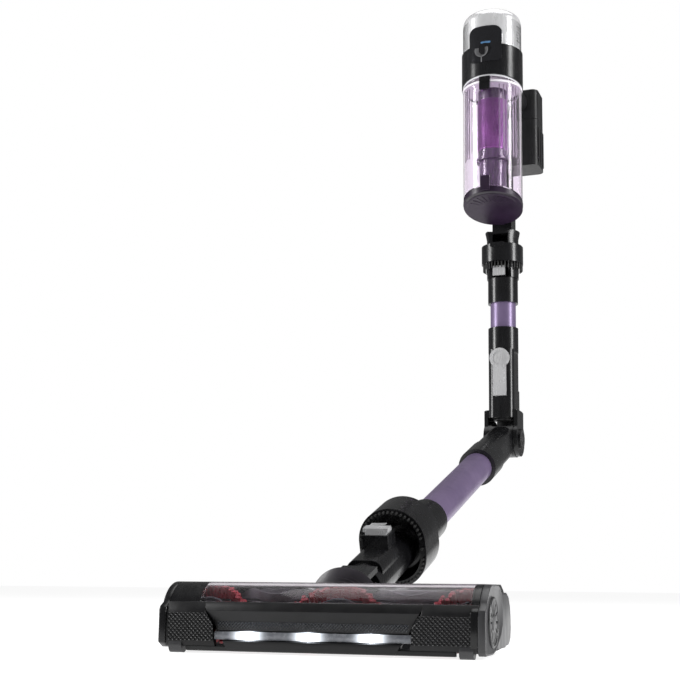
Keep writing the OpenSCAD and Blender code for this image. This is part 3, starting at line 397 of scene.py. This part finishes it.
def pick_points(o, test):
    mesh = bmesh.from_edit_mesh(o.data)
    for v in mesh.verts:
        v.select_set(test(v.co / MM))
    mesh.select_flush(True)
    bmesh.update_edit_mesh(o.data)


def move(x=0, y=0, z=0):
    bpy.ops.transform.translate(value=(x * MM, y * MM, z * MM))


def grow(sx, sy=None, about=(0, 0, 0)):
    middle = tuple(c * MM for c in about)
    bpy.ops.transform.resize(value=(sx, sx if sy is None else sy, 1), center_override=middle)


def lift(x=0, y=0, z=0):
    bpy.ops.mesh.extrude_region_move(TRANSFORM_OT_translate={"value": (x * MM, y * MM, z * MM)})


def cut_off(place, normal, away=True, fill=False):
    """Bisects everything and, when asked, throws away what lies on the normal's side."""
    bpy.ops.mesh.select_all(action="SELECT")
    bpy.ops.mesh.bisect(plane_co=tuple(c * MM for c in place), plane_no=normal, clear_outer=away, use_fill=fill)


def made_solid():
    bpy.ops.mesh.select_all(action="SELECT")
    bpy.ops.mesh.normals_make_consistent(inside=False)
    leave()


def disc(r, z=0, corners=64):
    clear()
    bpy.ops.mesh.primitive_circle_add(vertices=corners, radius=r * MM, fill_type="NGON",
                                      location=(0, 0, z * MM))
    bpy.ops.object.transform_apply(location=True)
    return bpy.context.object


def lathe(name, rings, corners=64):
    """Turns a profile of (radius, height) pairs round Z: a disc pushed up and scaled from ring to ring."""
    o = disc(rings[0][0], rings[0][1], corners)
    o.name = name
    enter(o)
    bpy.ops.mesh.select_all(action="SELECT")
    for (r0, z0), (r1, z1) in zip(rings, rings[1:]):
        lift(z=z1 - z0)
        if abs(r1 - r0) > 1e-6:
            grow(r1 / r0, about=(0, 0, z1))
    made_solid()
    return o


def outline(name, points):
    """A flat face in the XY plane: a disc with one corner for each point, each moved to its place."""
    o = disc(1, corners=len(points))
    o.name = name
    starts = [v.co / MM for v in o.data.vertices]
    enter(o, "VERT")
    for k, (x, y) in enumerate(points):
        mesh = bmesh.from_edit_mesh(o.data)
        mesh.verts.ensure_lookup_table()
        mesh.verts[k].select_set(True)
        bmesh.update_edit_mesh(o.data)
        move(x=x - starts[k].x, y=y - starts[k].y)
        bpy.ops.mesh.select_all(action="DESELECT")
    leave()
    return o


def upright(o, x):
    """Stands a flat outline up: its X becomes Y and its Y becomes Z, at the place x."""
    o.data.transform(Matrix(((0, 0, 1, x * MM), (1, 0, 0, 0), (0, 1, 0, 0), (0, 0, 0, 1))))


def bar(name, points, x0, x1):
    """An outline of (y, z) points pushed along X."""
    o = outline(name, points)
    upright(o, x0)
    enter(o)
    bpy.ops.mesh.select_all(action="SELECT")
    lift(x=x1 - x0)
    made_solid()
    return o


def round_outline(name, w, d, r, steps=6):
    """A rectangle with its corners bevelled round, as a flat face."""
    clear()
    bpy.ops.mesh.primitive_plane_add(size=MM)
    o = bpy.context.object
    o.name = name
    enter(o, "VERT")
    bpy.ops.mesh.select_all(action="SELECT")
    grow(w, d)
    bpy.ops.mesh.bevel(offset=r * MM, segments=steps, affect="VERTICES")
    leave()
    return o


def oval_outline(name, w, d, corners):
    """A circle whose halves are moved apart along Y."""
    o = disc(w / 2, corners=corners)
    o.name = name
    half = (d - w) / 2
    enter(o, "VERT")
    for side in (-1, 1):
        pick_points(o, lambda p: p.y * side > 0.001)
        move(y=side * half)
    leave()
    return o


def stack(o, rings):
    """Pushes a flat outline up through rings of (height, scale x, scale y, shift y), all from the outline."""
    enter(o)
    bpy.ops.mesh.select_all(action="SELECT")
    z, sx, sy, dy = rings[0]
    move(z=z, y=dy)
    grow(sx, sy, about=(0, dy, z))
    for z1, sx1, sy1, dy1 in rings[1:]:
        lift(z=z1 - z, y=dy1 - dy)
        grow(sx1 / sx, sy1 / sy, about=(0, dy1, z1))
        z, sx, sy, dy = z1, sx1, sy1, dy1
    made_solid()
    return o


def apply(o, kind, **settings):
    clear()
    bpy.context.view_layer.objects.active = o
    o.select_set(True)
    modifier = o.modifiers.new(kind.lower(), kind)
    for key, value in settings.items():
        setattr(modifier, key, value)
    bpy.ops.object.modifier_apply(modifier=modifier.name)


def rounded(o, width, segments=3):
    apply(o, "BEVEL", width=width * MM, segments=segments, limit_method="ANGLE",
          angle_limit=math.radians(SHARP), harden_normals=False)


def joined(pieces, name):
    clear()
    for p in pieces:
        p.select_set(True)
    bpy.context.view_layer.objects.active = pieces[0]
    bpy.ops.object.join()
    pieces[0].name = name
    return pieces[0]


def copied(o, matrix):
    c = o.copy()
    c.data = o.data.copy()
    scene.collection.objects.link(c)
    c.data.transform(matrix)
    return c


def turn(axis, degrees):
    return Matrix.Rotation(math.radians(degrees), 4, axis)


def shift(x=0, y=0, z=0):
    return Matrix.Translation(Vector((x, y, z)) * MM)


def settle(o, body, material, matrix, smooth=SHARP, instead_of=()):
    """Puts a finished piece in its place, smooths it and hangs it on its body."""
    clear()
    bpy.context.view_layer.objects.active = o
    o.select_set(True)
    o.matrix_world = matrix
    bpy.ops.object.transform_apply(location=True, rotation=True, scale=True)
    bpy.ops.object.shade_smooth_by_angle(angle=math.radians(smooth))
    o.data.materials.clear()
    o.data.materials.append(material)
    o.data.name = o.name
    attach(o, body)
    if instead_of:
        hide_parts(*instead_of)
    clear()


# ---------------------------------------------------------------- floor head

IN = 125.8                     # inner face of the end plates
GRIP_LEFT, GRIP_RIGHT = -84, 74   # inner ends of the knurled corners
GRIP_SLANT = 9                 # how far a corner's top edge leans outwards
LIP_HALF = 109
CRISP = 10                     # small points keep their edges

corner = [(2.2, 5.4), (1.2, 7.6), (1.2, 32.6), (3.0, 35.4), (5.6, 40.2), (8, 40.2), (8, 5.4)]
middle_part = [(5.0, 1.7), (2.6, 2.3), (1.3, 4.4), (1.3, 9.8), (5.0, 10.3), (5.0, 17.6), (3.9, 18.0),
               (4.4, 25.2), (1.7, 33.2), (3.0, 35.4), (5.6, 40.2), (8, 40.2), (8, 1.7)]
parts = []
for x0, x1, side in ((-IN, GRIP_LEFT, 1), (GRIP_RIGHT, IN, -1)):
    p = bar("corner", corner, x0, x1)
    inner = x1 if side > 0 else x0
    enter(p, "VERT")
    pick_points(p, lambda v: abs(v.x - inner) < 0.1 and v.z > 30)
    move(x=-side * GRIP_SLANT)
    leave()
    parts.append(p)
centre_bar = bar("centre", middle_part, GRIP_LEFT - 10, GRIP_RIGHT + 10)
enter(centre_bar)
for at, normal in (((GRIP_LEFT - 4.5, 0, 28), (-1, 0, -0.6)), ((GRIP_RIGHT + 4.5, 0, 28), (1, 0, -0.6))):
    cut_off(at, normal, fill=True)
leave()
lip = bar("lip", [(5.0, 1.7), (2.6, 2.3), (1.8, 5.6), (8, 5.6), (8, 1.7)], -LIP_HALF, LIP_HALF)
fascia = joined([*parts, centre_bar, lip], "fascia_panel")
rounded(fascia, 0.5, 2)
settle(fascia, "floor_head", BLACK_SATIN, HEAD, instead_of=["front_fascia"])


def pyramids(name, w, h, pitch, depth):
    """Rows of small points on a sheet: a grid turned on its corner, poked, and trimmed to its outline."""
    count = int(1.5 * max(w, h) / pitch)
    clear()
    bpy.ops.mesh.primitive_grid_add(x_subdivisions=count, y_subdivisions=count, size=count * pitch * MM)
    o = bpy.context.object
    o.name = name
    enter(o)
    bpy.ops.mesh.select_all(action="SELECT")
    bpy.ops.mesh.poke(offset=depth * MM)
    leave()
    o.data.transform(turn("Z", 45))
    enter(o)
    for side in (1, -1):
        cut_off((side * w / 2, 0, 0), (side, 0, 0))
    for side in (1, -1):
        cut_off((0, side * h / 2, 0), (0, side, 0))
    leave()
    o.data.transform(turn("X", 90))
    return o


grips = []
for x0, x1, side in ((-IN + 1.5, GRIP_LEFT - 1.5, 1), (GRIP_RIGHT + 1.5, IN - 1.5, -1)):
    g = pyramids("grip", x1 - x0, 21.6, 2.5, 0.9)
    g.data.transform(shift((x0 + x1) / 2, 1.22, 20.6))
    enter(g)
    inner = x1 if side > 0 else x0
    cut_off((inner - side * 2, 0, 25), (side, 0, 0.6))
    leave()
    grips.append(g)
settle(joined(grips, "grip_knurls"), "floor_head", BLACK_SATIN, HEAD, smooth=CRISP,
       instead_of=["corner_grips"])

band = pyramids("grille_band", GRIP_RIGHT - GRIP_LEFT - 3, 6.4, 1.9, -0.8)
band.data.transform(shift((GRIP_LEFT + GRIP_RIGHT) / 2, 3.9, 21.6))
settle(band, "floor_head", GRILLE, HEAD, smooth=CRISP)

lens_shape = [(3.6, 11.0), (3.0, 12.2), (2.8, 14), (3.0, 15.8), (3.6, 17.0), (4.9, 17.2), (4.9, 10.8)]
lens = bar("light_bar", lens_shape, GRIP_LEFT - 1, GRIP_RIGHT + 1)
enter(lens)
for x in LAMPS:
    for off in (-9, 9):
        cut_off((x + off, 0, 0), (1, 0, 0), away=False)
bpy.ops.mesh.select_all(action="DESELECT")
pick_faces(lens, lambda c, n: n.y < -0.5 and 13 < c.z < 15)
bpy.ops.mesh.inset(thickness=0.7 * MM)
move(y=-0.2)
leave()
rounded(lens, 0.25, 2)
settle(lens, "floor_head", LIGHT_BAR, HEAD, instead_of=["led_lenses"])

# Black band round the right end of the hood, the grey cap over it and the wall behind the cap
ROLLER = (34, 27)              # the roller's axis, from the head's front and the floor


def arc_points(r, a0, a1, steps):
    """Points round the roller's axis, from the angle a0 above the front to a1."""
    angles = [math.radians(a0 + k * (a1 - a0) / steps) for k in range(steps + 1)]
    return [(ROLLER[0] - r * math.cos(a), ROLLER[1] + r * math.sin(a)) for a in angles]


shell_back = [(105, 56), (116, 52), (123, 47), (128, 38), (130.6, 32), (130.6, 12), (124, 6), (8, 4)]
shell_out = [(0.2, 8), (0.2, 33.5), (2.0, 36.5)] + arc_points(29.0, 26, 90, 14) + shell_back
band_right = bar("hood_band_right", shell_out[:-2] + [(126, 12), (10, 12)], 120.5, 126.2)
rounded(band_right, 0.6, 2)
settle(band_right, "floor_head", BLACK_GLOSS, HEAD)

cap_back = [(60, 55.4), (68, 53.2), (74, 48.5), (78.5, 40), (80, 31), (79, 24), (70, 15), (46, 4.5), (34, 2.6),
            (4, 2.6)]
cap_outline = [(1.0, 5), (0.3, 9), (0.3, 32), (2.2, 36.5)] + arc_points(28.8, 27, 90, 12) + cap_back
cap = bar("end_cap_right", cap_outline, 126, 132.3)
enter(cap)
pick_faces(cap, lambda c, n: n.x > 0.9)
bpy.ops.mesh.inset(thickness=2.2 * MM)
move(x=-0.5)
bpy.ops.mesh.inset(thickness=0.6 * MM)
move(x=-0.3)
leave()
rounded(cap, 0.9, 3)
settle(cap, "floor_head", GREY, HEAD, instead_of=["right_end_cap"])
wall_outline = [(60, 8), (60, 44), (74, 49), (108, 49.5), (117, 46.5), (124, 39), (127.5, 31), (128.5, 20),
                (126, 11), (118, 6.5), (66, 4)]
side_wall = bar("side_wall_right", wall_outline, 126, 130.6)
rounded(side_wall, 1.6, 4)
settle(side_wall, "floor_head", GREY, HEAD)
cap = bar("end_cap_left", shell_out, -132.5, -126)
enter(cap)
pick_faces(cap, lambda c, n: n.x < -0.9)
bpy.ops.mesh.inset(thickness=3 * MM)
move(x=0.7)
leave()
rounded(cap, 1.3, 4)
settle(cap, "floor_head", BLACK_GLOSS, HEAD, instead_of=["left_end_plate"])

# Dial: a dished disc with radial slots round a raised hub
SLOTS = 12
dial = lathe("release_dial", [(19.6, 0), (19.6, 6.2), (18.8, 7.0), (17.6, 7.0), (17.2, 6.4), (6.6, 6.2),
                              (6.0, 6.9), (4.6, 7.1)], FINE)
slot_shape = stack(round_outline("slot", 1.7, 8.2, 0.8, 3), [(5.0, 1, 1, 12), (9.0, 1, 1, 12)])
cutters = [copied(slot_shape, turn("Z", k * 360 / SLOTS)) for k in range(SLOTS)]
bpy.data.objects.remove(slot_shape)
cutter = joined(cutters, "slots")
apply(dial, "BOOLEAN", operation="DIFFERENCE", object=cutter, solver="EXACT")
bpy.data.objects.remove(cutter)
rounded(dial, 0.25, 2)
settle(dial, "roller_dial", GREY_DARK, HEAD @ shift(126.2, *ROLLER) @ turn("Y", 90),
       instead_of=["roller_dial"])

# Roller: tufts of red bristle and thin blades that wave across the core
WAVE, TOP = 110, 14            # length of a wave and the place of one of its crests
TURN, CREST = 84, 8            # degrees a strip swings through, and its crest's own angle
X0, X1 = -106.5, 116.5         # ends of the strips
TUFTS = 74                     # tufts along a row
ROWS_APART = 3.1
STATIONS = 44                  # steps along a thin blade


def wave_angle(x):
    return CREST + TURN * (1 - math.cos(2 * math.pi * (x - TOP) / WAVE)) / 2


def on_roller(x, degrees, lean=0):
    """A frame on the core: Z points outwards, X along the roller."""
    return shift(0, *ROLLER) @ turn("X", degrees) @ shift(x, 0, 0) @ turn("Y", lean)


clear()
bpy.ops.mesh.primitive_cone_add(vertices=6, radius1=1.35 * MM, radius2=1.75 * MM, depth=9.6 * MM,
                                location=(0, 0, 20.7 * MM))
tuft = bpy.context.object
enter(tuft)
pick_faces(tuft, lambda c, n: n.z > 0.9)
bpy.ops.mesh.poke(offset=0.5 * MM)
bpy.ops.mesh.select_all(action="SELECT")
grow(1, 0.8)
leave()
bpy.ops.object.transform_apply(location=True)
tufts = []
for k in range(3):
    for i in range(TUFTS + 1):
        x = X0 + i * (X1 - X0) / TUFTS
        for row in (-1, 1):
            a = wave_angle(x) + k * 120 + row * ROWS_APART
            wobble = 3.5 * math.sin(i * 2.4 + k + row)
            tufts.append(copied(tuft, on_roller(x + row * 0.7, a, wobble)))
bpy.data.objects.remove(tuft)
settle(joined(tufts, "bristle_tufts"), "roller", RED, HEAD, smooth=50,
       instead_of=["bristle_strips"])


def blade(start, foot, height, thick):
    """A thin strip swept across the roller: a flat section pushed along station by station."""
    half = thick / 2
    o = outline("blade", [(-half, foot), (half, foot), (half, height), (0, height + 0.4), (-half, height)])
    upright(o, 0)
    xs = [X0 + i * (X1 - X0) / STATIONS for i in range(STATIONS + 1)]
    angle = [start + wave_angle(x) for x in xs]
    o.data.transform(shift(xs[0], 0, 0) @ turn("X", angle[0]))
    enter(o)
    bpy.ops.mesh.select_all(action="SELECT")
    for i in range(STATIONS):
        lift(x=xs[i + 1] - xs[i])
        bpy.ops.transform.rotate(value=-math.radians(angle[i + 1] - angle[i]), orient_axis="X",
                                 center_override=(0, 0, 0))
    made_solid()
    o.data.transform(shift(0, *ROLLER))
    return o


blades = [blade(k * 120 + off, 15.8, 23.6, 1.5) for k in range(3) for off in (38, 62)]
settle(joined(blades, "soft_blades"), "roller", SOFT, HEAD, smooth=40, instead_of=["soft_strips"])

# ---------------------------------------------------------------- handheld

MOTOR_R, BIN_R = 40.25, 38.5   # outer radius of the motor housing and of the bin
CAP_Z, BIN_Z = 508, 302        # feet of the exhaust cap and of the bin
CAP_R = MOTOR_R - 2
HOLE_ROWS, HOLES_IN_ROW = 13, 26
HOLE_STEP, ROW_STEP = 4.1, 2.75   # degrees along a row, and millimetres from row to row
FIRST_HOLE = 42                # degrees from the front

# Exhaust holes: rows of small dished rims round the sides of the cap
hole = disc(0.95, corners=8)
enter(hole)
bpy.ops.mesh.select_all(action="SELECT")
bpy.ops.mesh.inset(thickness=0.22 * MM)
move(z=-0.35)
leave()
holes = []
for row in range(HOLE_ROWS):
    for column in range(HOLES_IN_ROW):
        for side in (1, -1):
            around = FIRST_HOLE + (column + 0.5 * (row % 2)) * HOLE_STEP
            facing = shift(z=CAP_Z + 4.5 + row * ROW_STEP) @ turn("Z", -90 + side * around) @ turn("Y", 90)
            holes.append(copied(hole, facing @ shift(z=CAP_R + 0.25)))
bpy.data.objects.remove(hole)
settle(joined(holes, "exhaust_holes"), "handheld", BLACK_SATIN, BIN)

# Pale edge round the bin's top and ribs moulded inside its wall
rim = lathe("bin_rim", [(BIN_R + 0.3, 456.6), (BIN_R + 0.9, 457.4), (BIN_R + 0.9, 459.2), (BIN_R + 0.2, 459.8),
                        (BIN_R - 2, 459.8), (BIN_R - 2, 456.6)], FINE)
settle(rim, "handheld", RIM, BIN)
rib = bar("rib", [(-0.45, -48), (-0.3, -48.4), (0.3, -48.4), (0.45, -48), (0.45, 47.4), (-0.45, 47.4)], 0, 1.1)
ribs = []
for around in (-66, -57, -48.5, -41, 28, 37, 45, 53, 61, 69):
    ribs.append(copied(rib, shift(z=407) @ turn("Z", -90 + around) @ shift(x=BIN_R - 3.2)))
bpy.data.objects.remove(rib)
settle(joined(ribs, "bin_ribs"), "handheld", RIB, BIN)

# Screen round the column: fine rings
SCREEN_FOOT, SCREEN_TOP, RING_STEP = 377, 442, 1.7
rings = [(19.25, SCREEN_FOOT)]
z = SCREEN_FOOT
while z < SCREEN_TOP:
    rings += [(19.75, z + 0.35), (19.75, z + 0.95), (19.2, z + 1.3)]
    z += RING_STEP
screen = lathe("screen_rings", rings, 72)
settle(screen, "handheld", MESH, BIN)

# Marks on the display: a small bar and a gauge ring with its pointer
dash = stack(round_outline("display_bar", 13, 2.6, 1.2, 4),
             [(0, 1, 1, 0), (0.12, 1, 1, 0), (0.2, 0.93, 0.7, 0)])
dash.data.transform(shift(z=510) @ turn("Z", 2) @ shift(y=-MOTOR_R - 0.55) @ turn("X", 90))
settle(dash, "handheld", MARK_BLUE, BIN)
gauge = lathe("gauge", [(9.2, 0), (9.2, 0.2), (8.0, 0.2), (8.0, 0.1), (8.0, 0)], 64)
enter(gauge)
cut_off((0, 3.5, 0), (0, 1, 0))
leave()
stem = stack(round_outline("stem", 1.5, 9, 0.6, 3), [(0, 1, 1, -12), (0.2, 1, 1, -12)])
gauge = joined([gauge, stem], "gauge_ring")
settle(gauge, "handheld", MARK_GREY,
       BIN @ shift(z=500) @ turn("Z", -6) @ shift(y=-MOTOR_R - 0.62) @ turn("X", 90))

# Underside of the flap: rings, spokes and the seal round its edge
FLAP_FRONT_Z, FLAP_PIN_Z, FLAP_LONG = 313, 296.1, 76.4
SPOKES = 24
TILT = math.degrees(math.atan2(FLAP_FRONT_Z - FLAP_PIN_Z, FLAP_LONG))
UNDER = BIN @ shift(z=BIN_Z) @ turn("X", -TILT) @ turn("X", 180)
dish = lathe("flap_dish", [(34.5, 1.9), (34.5, 2.5), (33.6, 2.9), (31.5, 2.9), (31, 2.3), (14.5, 2.2),
                           (14, 2.9), (12.6, 3.0), (12.2, 2.4), (2, 2.3)], FINE)
spoke = stack(round_outline("spoke", 1.4, 15, 0.6, 3), [(2.0, 1, 1, 23), (2.9, 0.8, 0.96, 23)])
spokes = [copied(spoke, turn("Z", k * 360 / SPOKES)) for k in range(SPOKES)]
bpy.data.objects.remove(spoke)
settle(joined([dish, *spokes], "flap_underside"), "bin_flap", FLAP, UNDER)
edge = lathe("flap_seal", [(38.6, -2.6), (38.9, -2.0), (38.9, 1.2), (38.2, 2.0), (36.5, 2.1)], FINE)
settle(edge, "bin_flap", SEAL_DARK, UNDER)

# Raised ridges down both sides of the battery
BATTERY_Y = 97.5
RIDGES_APART = 13
ridge = bar("battery_ridge", [(-3.2, 404), (3.2, 404), (4, 405), (4, 455), (3.2, 456), (-3.2, 456), (-4, 455),
                              (-4, 405)], 0, 1.0)
ridges = []
for step in (-1, 0, 1):
    for x in (32.7, -33.7):
        ridges.append(copied(ridge, shift(x=x, y=BATTERY_Y + step * RIDGES_APART)))
bpy.data.objects.remove(ridge)
ridges = joined(ridges, "battery_ridges")
rounded(ridges, 0.35, 2)
settle(ridges, "battery", BLACK_SATIN, UPPER)

# ---------------------------------------------------------------- neck

# Ribbed dome round the yoke
DOME_R, DOME_FOOT, DOME_STEPS = 31.5, -30.6, 22
FOLD = 1.3                     # depth of the dome's grooves
dome_rings = []
for k in range(DOME_STEPS):
    z = DOME_FOOT + k * 1.5
    r = math.sqrt(DOME_R ** 2 - z * z) - (FOLD if k % 2 else 0)
    dome_rings.append((r, z))
dome = lathe("ribbed_dome", dome_rings + [(27, 1.4), (26, -4)], 72)
settle(dome, "neck_yoke", DOME, NECK, smooth=60, instead_of=["neck_hose"])

# Finger grooves across the head's release button
groove = stack(round_outline("groove", 15, 1.1, 0.5, 3), [(0, 1, 1, 0), (0.5, 0.97, 0.6, 0)])
grooves = [copied(groove, shift(x=0, y=-39.1, z=95 + k * 2.3) @ turn("X", 90)) for k in range(3)]
bpy.data.objects.remove(groove)
settle(joined(grooves, "release_grooves"), "head_release", SILVER, NECK)

# ---------------------------------------------------------------- elbow

# Shroud that closes the shell's foot over the drum, with a stepped lip
shroud_rings = [(25.2, 0.9, 0.86, 0), (26.6, 0.97, 0.95, 0), (31, 1, 1, 0), (31.4, 0.95, 0.95, 0),
                (32.4, 0.95, 0.95, 0), (32.8, 1, 1, 0), (44, 0.98, 0.94, 0)]
shroud = stack(oval_outline("elbow_shroud", 34, 42, 72), shroud_rings)
settle(shroud, "handheld", BLACK_SATIN, UPPER)

# Round rivet heads over the two ends of the elbow's pin
boss = lathe("pin_cap", [(11.5, 0), (11.5, 1.6), (10.6, 2.4), (8.6, 2.4), (8.2, 1.7), (4.2, 1.6), (3.8, 2.3),
                         (1.4, 2.5)])
caps = [copied(boss, shift(x=side * 22.3) @ turn("Y", side * 90)) for side in (1, -1)]
bpy.data.objects.remove(boss)
settle(joined(caps, "pin_caps"), "handheld", GREY_DARK, UPPER)

# Curved plate behind the drum
back = bar("elbow_back_plate", [(24.9, 6), (26.4, 3.6), (28.4, 4.6), (28.8, 12), (27.4, 36), (24.6, 36),
                                (25.2, 20)], -16, 16)
rounded(back, 0.9, 3)
settle(back, "handheld", BLACK_SATIN, UPPER)
